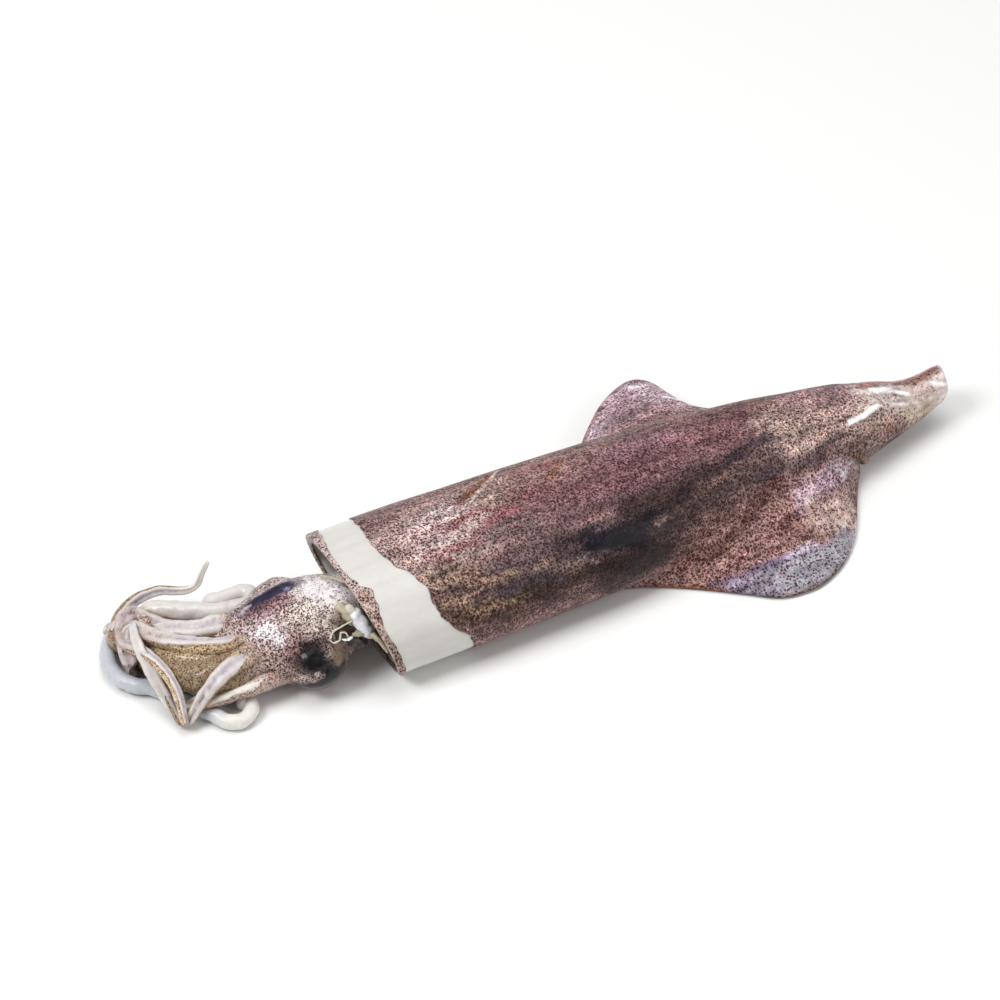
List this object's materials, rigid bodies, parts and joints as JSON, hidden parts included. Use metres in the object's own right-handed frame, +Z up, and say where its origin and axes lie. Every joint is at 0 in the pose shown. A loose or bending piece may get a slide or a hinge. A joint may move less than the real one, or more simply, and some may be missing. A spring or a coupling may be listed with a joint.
{
  "type": "squid",
  "caption": "Whole raw squid lying on its belly: tapering body tube with two fins and a lifted tail, head with eyes in its mouth, arms and tentacles in a loose pile in front.",
  "frame": {"origin": "centre of the bounding box, on the surface it lies on", "axes": "+X from the arms to the tail, +Y to the far side of the picture, +Z up through the back"},
  "size_m": [0.3352, 0.1181, 0.037],
  "materials": {
    "squid_skin": "wet mauve-brown skin with dark speckles over white flesh"
  },
  "bodies": {
    "root": {"squid": "squid_skin"}
  },
  "joints": []
}
